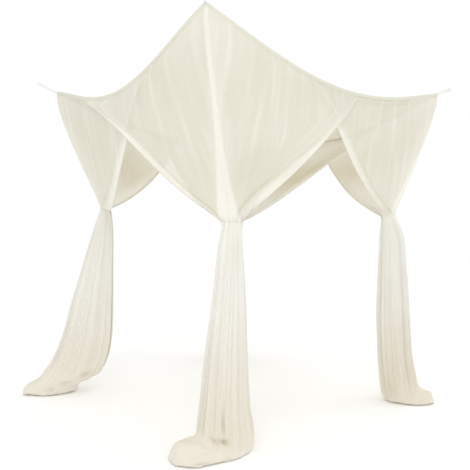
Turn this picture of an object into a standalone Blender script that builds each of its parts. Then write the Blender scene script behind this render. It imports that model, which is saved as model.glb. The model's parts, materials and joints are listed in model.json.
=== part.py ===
"""Mosquito net canopy for a bed: a sagging roof net hung from four corner tapes,
with four corner curtains that overlap along the sides, are gathered into necks
and fall to the floor in loose feet.

Everything is modelled in the room's own axes, metres: the front corner stands at
x = 0, y = 0, the floor is z = 0. One empty then moves the room, so that the eye of
the front corner tape, where the canopy hangs, lies at the world's origin.
"""

import math
from typing import NamedTuple

import bpy
import numpy as np

# ---------------------------------------------------------------- driving sizes

# The plan of the canopy, and how far its top edges bow inwards at the middle.
SIDE_X = 2.10
SIDE_Y = 1.90
EDGE_BOW = 0.012

# The net, and the gap between a curtain's top and the binding above it.
SHEET = 0.002
CLEAR = 0.003

BINDING_TALL = 0.020
BINDING_THICK = 0.003
BINDING_SEGMENTS = 20
BINDING_CORNER_GAP = 0.006

ROOF_CELLS = 14
ROOF_INSET = BINDING_THICK / 2 + 0.002
ROOF_DOWN = 0.005

TAPE_WIDE = 0.022
TAPE_THICK = 0.002
TAPE_ROOT_OUT = 0.008
TAPE_ROOT_DOWN = 0.004
TAPE_LAYER_GAP = 0.0018

# Curtains that share a side hang this far outside or inside of it.
PANEL_OFFSET = 0.018
CORNER_BULGE = 0.022

# How much of a full turn a curtain takes round its post, to each side.
WRAP_DEGREES = 150.0
NECK_WRAP_DEGREES = 112.0

# Folds are shallower towards the hems, and die out where the cloth lies down.
COLUMNS_PER_FOLD = 4
HEM_CALM = 0.7
FLOOR_EASE = 0.040

# How squarely a foot's cloth turns down to the floor at its sides.
FOOT_ARCH = 5.0
HEM_STEPS = 24

UP = np.array([0.0, 0.0, 1.0])


class Corner(NamedTuple):
    """One hanging corner, its tape, and the neck of its curtain."""

    name: str
    x: float
    y: float
    height: float
    facing: float  # degrees, the way out of the canopy at this corner
    edge_sag: float  # how far the top edge towards the next corner droops
    sag_ease: float  # 1 for a plain arch, more where the ends stay straighter
    tape_out: float
    tape_up: float
    neck_x: float
    neck_y: float
    neck_z: float
    strand_down: float  # how far the corner's cloth falls straight, as a share
    strand_up: float  # how steeply it comes into the neck
    toe_facing: float  # degrees, the way in which the foot is turned out
    first_fold: int  # where in the fold tables its first fold stands


class Hem(NamedTuple):
    """One front edge of a curtain: how far along the side it starts, and the
    handles of the curve that takes it from there down to the neck."""

    reach: float
    top_back: float
    top_down: float
    neck_out: float
    neck_up: float
    layer: int  # -1 hangs outside its neighbour, +1 inside it


class Section(NamedTuple):
    """One section of a post, from the neck to the end of the foot: the place of
    its toe side and heel side along the way in which the foot is turned out."""

    toe: float
    toe_z: float
    heel: float
    heel_z: float
    half_depth: float
    fold: float


CORNERS = (
    Corner("front", 0.0, 0.0, 2.245, 225, 0.205, 1.25, 0.150, 0.083,
           0.381, 0.284, 1.235, 0.30, 0.12, 173, 0),
    Corner("left", 0.0, SIDE_Y, 2.262, 135, 0.200, 1.15, 0.150, 0.078,
           0.320, 1.730, 1.380, 0.18, 0.07, 155, 3),
    Corner("back", SIDE_X, SIDE_Y, 2.240, 45, 0.200, 1.15, 0.150, 0.080,
           1.600, 1.760, 1.290, 0.30, 0.08, 52, 5),
    Corner("right", SIDE_X, 0.0, 2.216, -45, 0.187, 1.06, 0.095, 0.034,
           1.752, 0.194, 1.327, 0.13, 0.05, -52, 2),
)

# The hem towards the next corner of the list, then the one towards the last.
HEMS = {
    "front": (Hem(1.437, 0.858, 0.409, 0.211, 0.276, -1), Hem(1.176, 0.622, 0.600, 0.000, 0.201, -1)),
    "left": (Hem(1.093, 0.294, 0.568, 0.013, 0.017, -1), Hem(1.429, 0.441, 0.229, 0.708, -0.157, 1)),
    "back": (Hem(1.594, 0.250, 0.020, 0.030, 0.120, 1), Hem(1.250, 0.280, 0.300, 0.400, 0.150, 1)),
    "right": (Hem(1.368, 0.486, 0.397, 0.815, 0.486, 1), Hem(1.154, 0.185, 0.285, 0.610, 0.190, -1)),
}

SECTIONS = {
    "front": (
        Section(0.040, 1.235, -0.064, 1.235, 0.050, 0.004),
        Section(0.066, 1.090, -0.064, 1.090, 0.069, 0.012),
        Section(0.100, 0.810, -0.080, 0.810, 0.087, 0.016),
        Section(0.141, 0.530, -0.086, 0.530, 0.108, 0.018),
        Section(0.174, 0.260, -0.100, 0.250, 0.122, 0.018),
        Section(0.190, 0.154, -0.124, 0.110, 0.132, 0.015),
        Section(0.206, 0.115, -0.118, 0.012, 0.144, 0.012),
        Section(0.250, 0.110, 0.000, 0.005, 0.146, 0.010),
        Section(0.314, 0.100, 0.170, 0.005, 0.132, 0.009),
        Section(0.360, 0.070, 0.325, 0.005, 0.110, 0.006),
    ),
    "left": (
        Section(0.037, 1.380, -0.037, 1.380, 0.040, 0.004),
        Section(0.093, 1.220, -0.053, 1.220, 0.060, 0.010),
        Section(0.177, 0.920, -0.054, 0.920, 0.080, 0.014),
        Section(0.246, 0.680, -0.055, 0.680, 0.095, 0.016),
        Section(0.304, 0.450, -0.049, 0.430, 0.105, 0.018),
        Section(0.365, 0.290, -0.020, 0.250, 0.110, 0.016),
        Section(0.425, 0.190, 0.050, 0.125, 0.114, 0.014),
        Section(0.490, 0.115, 0.180, 0.060, 0.108, 0.010),
        Section(0.550, 0.085, 0.235, 0.008, 0.098, 0.008),
        Section(0.597, 0.063, 0.440, 0.006, 0.075, 0.006),
    ),
    "back": (
        Section(0.045, 1.290, -0.045, 1.290, 0.040, 0.004),
        Section(0.070, 1.140, -0.065, 1.140, 0.060, 0.010),
        Section(0.095, 0.860, -0.085, 0.860, 0.075, 0.014),
        Section(0.115, 0.580, -0.095, 0.580, 0.085, 0.016),
        Section(0.140, 0.340, -0.100, 0.320, 0.095, 0.016),
        Section(0.165, 0.190, -0.095, 0.150, 0.100, 0.014),
        Section(0.195, 0.115, -0.070, 0.050, 0.105, 0.012),
        Section(0.240, 0.095, 0.020, 0.008, 0.100, 0.010),
        Section(0.300, 0.080, 0.150, 0.006, 0.095, 0.008),
        Section(0.350, 0.055, 0.290, 0.006, 0.080, 0.006),
    ),
    "right": (
        Section(0.049, 1.327, -0.036, 1.307, 0.040, 0.004),
        Section(0.112, 1.160, -0.048, 1.155, 0.062, 0.010),
        Section(0.132, 0.930, -0.060, 0.930, 0.075, 0.014),
        Section(0.150, 0.640, -0.072, 0.640, 0.085, 0.016),
        Section(0.164, 0.360, -0.066, 0.345, 0.092, 0.016),
        Section(0.188, 0.210, -0.054, 0.165, 0.098, 0.014),
        Section(0.210, 0.125, -0.038, 0.036, 0.104, 0.012),
        Section(0.247, 0.100, 0.020, 0.008, 0.104, 0.010),
        Section(0.290, 0.076, 0.140, 0.006, 0.092, 0.008),
        Section(0.318, 0.046, 0.255, 0.006, 0.070, 0.006),
    ),
}

# Fold by fold round a curtain: the share of the cloth in each and how deep it is.
FOLD_SHARES = (1.00, 1.35, 0.80, 1.15, 0.90, 1.25, 0.70)
FOLD_DEPTHS = (0.90, 1.20, 0.75, 1.10, 0.85, 1.25, 0.70)

# How deep the folds are in each row of the fan, from the top edge down.
FAN_FOLDS = (0.002, 0.005, 0.008, 0.009, 0.007, 0.003)

# Places along a corner tape, as shares of its length, and half the gap at each.
EYE = (
    (0.00, TAPE_LAYER_GAP),
    (0.66, TAPE_LAYER_GAP),
    (0.74, 0.007),
    (0.82, 0.012),
    (0.90, 0.012),
    (0.96, 0.008),
    (1.00, 0.000),
)

# ---------------------------------------------------------------- small helpers


def turned(degrees):
    """The level unit vector that points this way."""
    angle = math.radians(degrees)
    return np.array([math.cos(angle), math.sin(angle), 0.0])


def corner_point(corner):
    return np.array([corner.x, corner.y, corner.height])


def next_corner(corner, steps=1):
    """The corner this many steps further round the canopy."""
    return CORNERS[(CORNERS.index(corner) + steps) % len(CORNERS)]


def edge_point(start, end, distance):
    """A point of the sagging top edge, this far along it from one corner."""
    edge = start if next_corner(start) is end else end
    a, b = corner_point(start), corner_point(end)
    share = distance / np.linalg.norm((b - a)[:2])
    droop = math.sin(math.pi * min(1.0, share)) ** edge.sag_ease
    point = a + (b - a) * share
    point[2] -= edge.edge_sag * droop
    return point + inward(start, end) * EDGE_BOW * droop


def along(start, end):
    """The level way from one corner to its neighbour."""
    way = corner_point(end) - corner_point(start)
    way[2] = 0.0
    return way / np.linalg.norm(way)


def inward(start, end):
    """The level way from this side to the middle of the canopy."""
    way = np.array([SIDE_X / 2 - start.x, SIDE_Y / 2 - start.y, 0.0])
    side = along(start, end)
    way -= side * (way @ side)
    return way / np.linalg.norm(way)


def bezier(p0, p1, p2, p3, t):
    return (1 - t) ** 3 * p0 + 3 * (1 - t) ** 2 * t * p1 + 3 * (1 - t) * t**2 * p2 + t**3 * p3


# ---------------------------------------------------------------- meshes


def material(name, colour, roughness, alpha=1.0):
    made = bpy.data.materials.new(name)
    made.use_nodes = True
    shader = made.node_tree.nodes["Principled BSDF"]
    shader.inputs["Base Color"].default_value = (*colour, 1.0)
    shader.inputs["Roughness"].default_value = roughness
    shader.inputs["Metallic"].default_value = 0.0
    shader.inputs["Alpha"].default_value = alpha
    return made


def sheet(name, rows, thickness, finish, room):
    """A grid of points, made into one closed sheet of this thickness."""
    grid = np.array(rows)
    tall, wide = grid.shape[:2]
    number = np.arange(tall * wide).reshape(tall, wide)
    faces = np.stack(
        [number[:-1, :-1], number[:-1, 1:], number[1:, 1:], number[1:, :-1]], axis=-1
    ).reshape(-1, 4)
    mesh = bpy.data.meshes.new(name)
    mesh.from_pydata(grid.reshape(-1, 3).tolist(), [], faces.tolist())
    mesh.materials.append(finish)
    mesh.shade_smooth()
    made = bpy.data.objects.new(name, mesh)
    bpy.context.scene.collection.objects.link(made)
    made.parent = room
    solidify = made.modifiers.new("cloth thickness", "SOLIDIFY")
    solidify.thickness = thickness
    solidify.offset = 0.0
    return made


# ---------------------------------------------------------------- roof and binding


def roof_rows():
    """The roof net: a sheet stretched between its four sagging edges."""
    front, left, back, right = CORNERS
    xs = np.linspace(ROOF_INSET, SIDE_X - ROOF_INSET, ROOF_CELLS + 1)
    ys = np.linspace(ROOF_INSET, SIDE_Y - ROOF_INSET, ROOF_CELLS + 1)
    rows = []
    for y in ys:
        v = y / SIDE_Y
        row = []
        for x in xs:
            u = x / SIDE_X
            low, high = edge_point(front, right, x), edge_point(left, back, x)
            near, far = edge_point(front, left, y), edge_point(right, back, y)
            flat = (
                (1 - u) * (1 - v) * corner_point(front)
                + u * (1 - v) * corner_point(right)
                + (1 - u) * v * corner_point(left)
                + u * v * corner_point(back)
            )
            point = (1 - v) * low + v * high + (1 - u) * near + u * far - flat
            row.append(point - UP * ROOF_DOWN)
        rows.append(row)
    return rows


def binding_rows(start, end):
    """The tape sewn round the rim: an upright ribbon under the sagging edge."""
    length = np.linalg.norm((corner_point(end) - corner_point(start))[:2])
    stops = np.linspace(BINDING_CORNER_GAP, length - BINDING_CORNER_GAP, BINDING_SEGMENTS + 1)
    top = [edge_point(start, end, stop) for stop in stops]
    return [top, [point - UP * BINDING_TALL for point in top]]


# ---------------------------------------------------------------- corner tapes


def tape_rows(corner):
    """The hanging tape, doubled back on itself round an open eye."""
    pull = hook_point(corner) - tape_root(corner)
    length = np.linalg.norm(pull)
    pull /= length
    across = turned(corner.facing + 90)
    wide = np.cross(pull, across)
    path = [(place * length, apart) for place, apart in EYE]
    path += [(place, -apart) for place, apart in reversed(path[:-1])]
    line = [tape_root(corner) + pull * place + across * apart for place, apart in path]
    return [[point + wide * side * TAPE_WIDE / 2 for point in line] for side in (-1, 1)]


def tape_root(corner):
    """Where a tape is sewn to its corner."""
    return corner_point(corner) + turned(corner.facing) * TAPE_ROOT_OUT - UP * TAPE_ROOT_DOWN


def hook_point(corner):
    """The end of a tape, where a hook holds it."""
    return tape_root(corner) + turned(corner.facing) * corner.tape_out + UP * corner.tape_up


# ---------------------------------------------------------------- curtains


def fold_stations(first_fold):
    """Where each column of a curtain stands, from -1 at one hem to +1 at the
    other, and how far in or out of its fold it is."""
    shares = np.roll(FOLD_SHARES, -first_fold)
    depths = np.roll(FOLD_DEPTHS, -first_fold)
    ends = np.concatenate([[0.0], np.cumsum(shares)])
    places, ripples = [], []
    for fold in range(len(FOLD_SHARES)):
        for step in range(COLUMNS_PER_FOLD):
            share = step / COLUMNS_PER_FOLD
            places.append(ends[fold] + shares[fold] * share)
            ripples.append(depths[fold] * math.sin(2 * math.pi * share))
    places.append(ends[-1])
    ripples.append(0.0)
    return 2 * np.array(places) / ends[-1] - 1, np.array(ripples)


def section_point(corner, section, u):
    """The point of one section of the post at this place round the curtain."""
    toe_way = turned(corner.toe_facing)
    deep_way = turned(corner.toe_facing + 90)
    wrap = NECK_WRAP_DEGREES if section is SECTIONS[corner.name][0] else WRAP_DEGREES
    angle = math.radians(corner.facing - u * wrap - corner.toe_facing)
    toe_share = (1 + math.cos(angle)) / 2
    place = section.heel + (section.toe - section.heel) * toe_share
    height = section.heel_z + (section.toe_z - section.heel_z) * toe_share**FOOT_ARCH
    neck = np.array([corner.neck_x, corner.neck_y, height])
    return neck + toe_way * place + deep_way * section.half_depth * math.sin(angle)


def hem_side(corner, u):
    """The neighbouring corner and the hem on this side of a curtain."""
    if u >= 0:
        return next_corner(corner), HEMS[corner.name][0]
    return next_corner(corner, -1), HEMS[corner.name][1]


def hem_drop(corner, u):
    """How far the hem lies below the top edge where this strand starts."""
    neighbour, hem = hem_side(corner, u)
    reach = abs(u) * hem.reach
    steps = np.linspace(1.0, 0.0, HEM_STEPS)
    line = np.array([fan_point(corner, math.copysign(1.0, u), t) for t in steps])
    places = (line - corner_point(corner)) @ along(corner, neighbour)
    height = np.interp(reach, places, line[:, 2])
    return max(0.0, edge_point(corner, neighbour, reach)[2] - height)


def fan_point(corner, u, t):
    """The point of the fan above the neck, on the strand that starts at this
    place of the top edge, a share t of the way down."""
    neighbour, hem = hem_side(corner, u)
    spread = abs(u)
    hem_share = spread**3
    side = along(corner, neighbour)
    start = edge_point(corner, neighbour, spread * hem.reach) - UP * (BINDING_TALL + CLEAR)
    start += inward(corner, neighbour) * PANEL_OFFSET * hem.layer * min(1.0, spread * 4)
    end = section_point(corner, SECTIONS[corner.name][0], u)
    fall = corner.strand_down * (start[2] - end[2])
    if spread < 1.0:
        fall = min(fall, hem_drop(corner, u))
    bulge = turned(corner.facing) * CORNER_BULGE * (1 - spread) ** 4
    first = start + bulge - UP * fall * (1 - hem_share)
    first -= (side * hem.top_back + UP * hem.top_down) * hem_share
    away = start - end
    away[2] = 0.0
    away -= side * (away @ side)
    second = end + bulge + UP * corner.strand_up * (1 - spread)
    second += (side * hem.neck_out + away + UP * hem.neck_up) * spread
    return bezier(start, first, second, end, t)


def curtain_rows(corner):
    """A whole curtain: the fan from the top edge to the neck, then the post and
    its foot, with the folds pushed in and out along the cloth's own normal."""
    places, ripples = fold_stations(corner.first_fold)
    rows = []
    for row in range(len(FAN_FOLDS)):
        rows.append([fan_point(corner, u, row / len(FAN_FOLDS)) for u in places])
    for section in SECTIONS[corner.name]:
        rows.append([section_point(corner, section, u) for u in places])
    grid = np.array(rows)
    folds = [*FAN_FOLDS, *(section.fold for section in SECTIONS[corner.name])]
    depth = np.outer(folds, ripples * (1 - HEM_CALM * places**2))
    depth *= np.clip(grid[:, :, 2] / FLOOR_EASE, 0.0, 1.0)
    normal = np.cross(np.gradient(grid, axis=1), np.gradient(grid, axis=0))
    normal /= np.linalg.norm(normal, axis=2, keepdims=True)
    grid += normal * depth[:, :, None]
    grid[:, :, 2] = np.maximum(grid[:, :, 2], SHEET / 2)
    return grid


# ---------------------------------------------------------------- the canopy


def clear_scene():
    for made in list(bpy.data.objects):
        bpy.data.objects.remove(made, do_unlink=True)


def build():
    clear_scene()
    room = bpy.data.objects.new("room", None)
    bpy.context.scene.collection.objects.link(room)
    room.location = -hook_point(CORNERS[0])
    roof_net = material("cream roof net", (0.84, 0.80, 0.69), 0.85, 0.75)
    side_net = material("cream curtain net", (0.84, 0.79, 0.67), 0.85, 0.80)
    band = material("rim tape", (0.74, 0.70, 0.60), 0.80)
    tape = material("hanging tape", (0.80, 0.79, 0.75), 0.75)
    sheet("roof_net", roof_rows(), SHEET, roof_net, room)
    for corner in CORNERS:
        onward = next_corner(corner)
        rim = f"rim_binding_{corner.name}_to_{onward.name}"
        sheet(rim, binding_rows(corner, onward), BINDING_THICK, band, room)
        sheet(f"corner_tape_{corner.name}", tape_rows(corner), TAPE_THICK, tape, room)
        sheet(f"curtain_{corner.name}", curtain_rows(corner), SHEET, side_net, room)
    bpy.context.view_layer.update()


build()
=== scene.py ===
"""Looks of a four-corner mosquito net canopy: fine cream net hung from four corner
tapes, its curtains gathered into posts that pool on a plain studio floor.

The script is laid out as an add-on and run as a script. Each piece is worked out in
the room's own axes, metres, with the front corner over x = 0, y = 0 and the floor at
z = 0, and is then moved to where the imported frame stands.
"""

import json
import math
from typing import NamedTuple

import bpy
import numpy as np
from bpy.props import FloatProperty, FloatVectorProperty
from numpy.linalg import norm
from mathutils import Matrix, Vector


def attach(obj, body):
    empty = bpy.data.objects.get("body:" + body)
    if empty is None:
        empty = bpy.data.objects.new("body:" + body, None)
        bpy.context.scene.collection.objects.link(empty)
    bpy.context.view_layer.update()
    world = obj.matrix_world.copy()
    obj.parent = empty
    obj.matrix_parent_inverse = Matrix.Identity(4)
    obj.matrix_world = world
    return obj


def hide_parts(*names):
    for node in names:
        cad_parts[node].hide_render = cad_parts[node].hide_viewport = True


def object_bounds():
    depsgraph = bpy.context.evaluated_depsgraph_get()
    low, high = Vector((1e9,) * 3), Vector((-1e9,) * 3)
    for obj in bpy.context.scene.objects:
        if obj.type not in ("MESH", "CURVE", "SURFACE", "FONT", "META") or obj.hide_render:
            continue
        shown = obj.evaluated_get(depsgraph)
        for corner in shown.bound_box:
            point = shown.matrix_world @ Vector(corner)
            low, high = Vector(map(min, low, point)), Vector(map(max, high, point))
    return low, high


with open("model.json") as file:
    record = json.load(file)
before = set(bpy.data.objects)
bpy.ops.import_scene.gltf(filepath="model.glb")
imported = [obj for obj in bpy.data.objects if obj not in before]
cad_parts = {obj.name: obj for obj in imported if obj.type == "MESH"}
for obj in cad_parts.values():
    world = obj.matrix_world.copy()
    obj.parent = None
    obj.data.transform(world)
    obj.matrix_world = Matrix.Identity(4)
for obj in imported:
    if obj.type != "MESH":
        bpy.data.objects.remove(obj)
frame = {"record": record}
CAD_BOX = [list(corner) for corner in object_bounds()]

bl_info = {
    "name": "Net canopy looks",
    "version": (1, 0, 0),
    "blender": (4, 5, 0),
    "location": "View3D > Sidebar > Canopy",
    "description": "Cream mosquito net canopy, its corner tapes and its studio",
    "category": "Object",
}

# ---- sizes of the canopy, in metres

SIDE_X = 2.10
SIDE_Y = 1.90
EDGE_BOW = 0.012  # how far a top edge bows in at its middle
SHEET = 0.002

BINDING_TALL = 0.020
BINDING_HALF = 0.0016  # from the net to each side of a binding
BINDING_CORNER_GAP = 0.006
CLEAR = 0.003  # from a binding down to the free net of a curtain
ROOF_DOWN = 0.005  # how far the roof net lies below the rim
ROOF_INSET = 0.001

TAPE_WIDE = 0.022
TAPE_ROOT_OUT = 0.008
TAPE_ROOT_DOWN = 0.004
TAPE_SEWN = 0.012  # how far a tape runs in over the corner it is sewn to

PANEL_OFFSET = 0.018  # how far in or out of its side a curtain hangs
LAYER_STEP = 0.0012  # the same right under the binding
CORNER_BULGE = 0.022
HEM_LAP = 0.085  # the width in which plumb strands lie in along a hem
CORNER_LAP = 0.030  # and beside the corner
WRAP_DEGREES = 177.0  # how far a curtain wraps round its post, each way
NECK_WRAP_DEGREES = 145.0
FLOOR_EASE = 0.040  # the height below which folds lie flatter
FOOT_ARCH = 5.0
LIP_RADIUS = 0.0035  # the roll of a hem's free edge
LIP_DEGREES = 300

# How closely the net lies, from 0 for a single layer to 1.
POST_CLOSE = 0.95
STRAND_CLOSE = 0.80
BESIDE_CLOSE = 0.45  # beside the strand
LIP_CLOSE = 0.4  # in the rolled lip of a hem
ROOF_CLOSE = 0.35  # along the rim of the roof

STRAND_HALF = 0.017  # the bunched strand that hangs from each corner
STRAND_GROWS = 0.050
BAND_SOFT = 0.016
THIN_LOW = 0.22  # how much thinner the far halves look low down
HEM_SHOWS = 0.34  # how much paler the net is painted along a hem that hangs over it, as light of the two layers

# Rows of the section tables between which something changes.
NECK_ROWS = (0.0, 0.35)  # a curtain closes round its post
RELAX_ROWS = (0.0, 2.2)  # strands bunched at the neck spread evenly
FLATTER_ROWS = (4.8, 6.6)  # folds grow shallower
LYING_ROWS = (5.0, 7.0)  # the foot comes to lie on the floor
# where the painted shade near the floor fades at the toe
PALE_TOE_ROWS = (5.8, 7.2)
TOE_TIP = 0.9  # the end of a foot closes over this many rows
TIP_OPEN = 0.05

UP = np.array([0.0, 0.0, 1.0])


class Corner(NamedTuple):
    """One hanging corner, its tape, and the neck of its curtain."""

    name: str
    x: float
    y: float
    height: float
    facing: float  # degrees, the way out of the canopy at this corner
    edge_sag: float  # how far the top edge towards the next corner droops
    sag_ease: float
    tape_out: float
    tape_up: float
    neck_x: float
    neck_y: float
    strand_down: float
    strand_up: float
    toe_facing: float  # degrees, the way in which the foot is turned out
    seed: int

    @property
    def point(self):
        return np.array([self.x, self.y, self.height])


class Hem(NamedTuple):
    """One front edge of a curtain and the handles of its curve to the neck."""

    reach: float
    top_back: float
    top_down: float
    neck_out: float
    neck_up: float
    layer: int  # -1 hangs outside its neighbour, +1 inside it
    band: float  # how wide the net lies bunched along it, near the neck
    bunched: float  # how closely it lies there
    shows: float  # how much paler the net it hangs over is painted, as light of the two layers, or thinner if below 0


class Dent(NamedTuple):
    """One of the creases or hollows pressed into a post, at a place on its sections, with painted
    shade in it.
    """

    level: float  # rows of the section table from the neck
    round: float  # -1 to 1 round the post, 0 on the corner's strand
    half_level: float
    half_round: float
    deep: float
    # painted shade in the dent
    painted_shade: float


class Drape(NamedTuple):
    """How the cloth of one curtain lies and how much shade is painted on it."""

    pleats: float  # depth of its folds
    beside: float  # how far the net lies softly gathered beside its strand
    lean: float  # how far the strand lies over towards the next corner
    inside_shade_before: float  # painted shade of the half towards the corner before it
    inside_shade_after: float  # painted shade of the half towards the next corner
    floor_shade: float  # painted shade near the floor
    pale_toe: float  # how much less painted shade at the end of its foot
    dents: tuple


CORNERS = (
    Corner("front", 0.0, 0.0, 2.245, 225, 0.205, 1.25, 0.150, 0.083,
           0.381, 0.284, 0.30, 0.12, 173, 11),
    Corner("left", 0.0, SIDE_Y, 2.262, 135, 0.200, 1.15, 0.150, 0.078,
           0.320, 1.730, 0.18, 0.07, 155, 23),
    Corner("back", SIDE_X, SIDE_Y, 2.240, 45, 0.200, 1.15, 0.150, 0.080,
           1.600, 1.760, 0.30, 0.08, 52, 37),
    Corner("right", SIDE_X, 0.0, 2.216, -45, 0.187, 1.06, 0.095, 0.034,
           1.752, 0.194, 0.13, 0.05, -52, 53),
)

# The hem towards the corner before, and the one towards the next corner.
HEMS = {
    "front": (
        Hem(1.176, 0.622, 0.600, 0.000, 0.201, -1, 0.072, 0.60, 0.25),
        Hem(1.437, 0.858, 0.409, 0.211, 0.276, -1, 0.066, 0.62, 0.25),
    ),
    "left": (
        Hem(1.429, 0.441, 0.229, 0.708, -0.157, 1, 0.200, 0.78, 0.30),
        Hem(1.093, 0.294, 0.568, 0.013, 0.017, -1, 0.150, 0.95, 0.25),
    ),
    "back": (
        Hem(1.250, 0.280, 0.300, 0.400, 0.150, 1, 0.055, 0.60, 0.25),
        Hem(1.594, 0.250, 0.020, 0.030, 0.120, 1, 0.085, 0.85, -0.75),
    ),
    "right": (
        Hem(1.154, 0.185, 0.285, 0.610, 0.190, -1, 0.055, 0.60, 0.30),
        Hem(1.368, 0.486, 0.397, 0.815, 0.486, 1, 0.120, 0.66, 0.12),
    ),
}

DRAPES = {
    "front": Drape(0.46, 0.065, 0.020, 0.0, 0.0, 0.82, 0.05, (
        Dent(4.50, -0.035, 0.48, 0.020, 0.013, 1.00),
        Dent(5.27, -0.042, 0.14, 0.048, 0.018, 1.45),
        Dent(5.45, 0.060, 0.16, 0.070, 0.012, 0.55),
        Dent(7.90, -0.090, 0.50, 0.030, 0.005, 0.80),
        Dent(7.30, -0.230, 0.35, 0.030, 0.005, 0.80),
    )),
    "left": Drape(0.50, 0.22, 0.0, 0.0, 0.85, 0.74, 0.0, (
        Dent(5.90, -0.780, 0.22, 0.080, 0.014, 0.75),
        Dent(6.50, -0.620, 0.25, 0.070, 0.010, 0.65),
        Dent(7.30, -0.550, 0.35, 0.050, 0.006, 0.65),
        Dent(7.10, -0.150, 0.35, 0.045, 0.010, 0.35),
    )),
    "back": Drape(1.15, 0.12, 0.0, 1.0, 1.0, 0.60, 0.0, ()),
    "right": Drape(0.62, 0.12, 0.0, 0.90, 0.0, 1.05, 0.0, (
        Dent(5.50, 0.750, 0.50, 0.120, 0.008, 0.40),
    )),
}

# Each post from its neck to the end of its foot, in millimetres. A section says how far
# out and how high its toe side is, the same for its heel side, half its depth, and how
# deep its folds are.
SECTIONS = {
    "front": (
        (40, 1235, -64, 1235, 50, 4), (66, 1090, -64, 1090, 69, 12),
        (100, 810, -80, 810, 87, 16), (141, 530, -86, 530, 108, 18),
        (174, 260, -100, 250, 122, 18), (190, 154, -124, 110, 132, 15),
        (206, 115, -118, 12, 144, 12), (250, 110, 0, 5, 146, 10),
        (314, 100, 170, 5, 132, 9), (360, 70, 325, 5, 110, 6),
    ),
    "left": (
        (37, 1380, -37, 1380, 40, 4), (93, 1220, -53, 1220, 60, 10),
        (177, 920, -54, 920, 80, 14), (246, 680, -55, 680, 95, 16),
        (304, 450, -49, 430, 105, 18), (365, 290, -20, 250, 110, 16),
        (425, 190, 50, 125, 114, 14), (490, 115, 180, 60, 108, 10),
        (550, 85, 235, 8, 98, 8), (597, 63, 440, 6, 75, 6),
    ),
    "back": (
        (45, 1290, -45, 1290, 40, 4), (70, 1140, -65, 1140, 60, 10),
        (95, 860, -85, 860, 75, 14), (115, 580, -95, 580, 85, 16),
        (140, 340, -100, 320, 95, 16), (165, 190, -95, 150, 100, 14),
        (195, 115, -70, 50, 105, 12), (240, 95, 20, 8, 100, 10),
        (300, 80, 150, 6, 95, 8), (350, 55, 290, 6, 80, 6),
    ),
    "right": (
        (49, 1327, -36, 1307, 40, 4), (112, 1160, -48, 1155, 62, 10),
        (132, 930, -60, 930, 75, 14), (150, 640, -72, 640, 85, 16),
        (164, 360, -66, 345, 92, 16), (188, 210, -54, 165, 98, 14),
        (210, 125, -38, 36, 104, 12), (247, 100, 20, 8, 104, 10),
        (290, 76, 140, 6, 92, 8), (318, 46, 255, 6, 70, 6),
    ),
}

LAST_SECTION = len(SECTIONS["front"]) - 1

# ---- small geometry


def turned(degrees):
    """The level unit vector that points this way."""
    angle = math.radians(degrees)
    return np.array([math.cos(angle), math.sin(angle), 0.0])


def smooth(x, low=0.0, high=1.0):
    """0 below low, 1 above high, and an even curve between."""
    share = np.clip((np.asarray(x, float) - low) / (high - low), 0.0, 1.0)
    return share * share * (3 - 2 * share)


def next_corner(corner, steps=1):
    """The corner this many steps further round the canopy."""
    return CORNERS[(CORNERS.index(corner) + steps) % len(CORNERS)]


def edge_points(start, end, distance):
    """Points of the sagging top edge, at these distances from one corner."""
    edge = start if next_corner(start) is end else end
    a, b = start.point, end.point
    share = np.asarray(distance, float) / norm((b - a)[:2])
    droop = np.sin(np.pi * np.clip(share, 0.0, 1.0)) ** edge.sag_ease
    points = a + (b - a) * share[..., None]
    points[..., 2] -= edge.edge_sag * droop
    return points + inward(start, end) * (EDGE_BOW * droop)[..., None]


def along(start, end):
    """The level way from one corner to its neighbour."""
    return unit((end.point - start.point) * (1.0, 1.0, 0.0))


def inward(start, end):
    """The level way from this side to the middle of the canopy."""
    way = np.array([SIDE_X / 2 - start.x, SIDE_Y / 2 - start.y, 0.0])
    side = along(start, end)
    return unit(way - side * (way @ side))


def bezier(p0, p1, p2, p3, t):
    return (1 - t) ** 3 * p0 + 3 * (1 - t) ** 2 * t * p1 + 3 * (1 - t) * t**2 * p2 + t**3 * p3


def table_curve(values, at):
    """Rows of a table read between its rows on smooth curves."""
    slopes = np.gradient(values, axis=0)
    low = np.clip(np.floor(at).astype(int), 0, len(values) - 2)
    t = (at - low)[:, None]
    a, b, da, db = values[low], values[low + 1], slopes[low], slopes[low + 1]
    return (
        (2 * t**3 - 3 * t**2 + 1) * a + (t**3 - 2 * t**2 + t) * da
        + (3 * t**2 - 2 * t**3) * b + (t**3 - t**2) * db
    )


def run_along(points, axis=0):
    """How far each point is from the first, gone along an axis of a grid or line."""
    step = norm(np.diff(points, axis=axis), axis=-1)
    return np.insert(np.cumsum(step, axis=axis), 0, 0.0, axis=axis)


def unit(ways):
    """Each way made one metre long."""
    return ways / np.maximum(norm(ways, axis=-1, keepdims=True), 1e-12)


def normals_of(grid):
    return unit(np.cross(np.gradient(grid, axis=1), np.gradient(grid, axis=0)))


def blurred(values, steps, axis):
    """Each value mixed with its neighbours this many times, ends held."""
    values = np.moveaxis(values, axis, 0)
    for _ in range(steps):
        before = np.concatenate([values[:1], values[:-1]])
        after = np.concatenate([values[1:], values[-1:]])
        values = (before + 2 * values + after) / 4
    return np.moveaxis(values, 0, axis)


def tape_root(corner):
    """Where a tape is sewn to its corner."""
    return corner.point + turned(corner.facing) * TAPE_ROOT_OUT - UP * TAPE_ROOT_DOWN


def hook_point(corner):
    """The end of a tape, where a hook holds it."""
    return tape_root(corner) + turned(corner.facing) * corner.tape_out + UP * corner.tape_up


# Where the frame has the room's zero: its record says where the front hook is.
HOOKS = {mount["name"]: np.array(mount["pos_m"]) for mount in frame["record"]["mounts"]}
ROOM = HOOKS["hang_front"] - hook_point(CORNERS[0])


# ---- curtains

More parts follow.
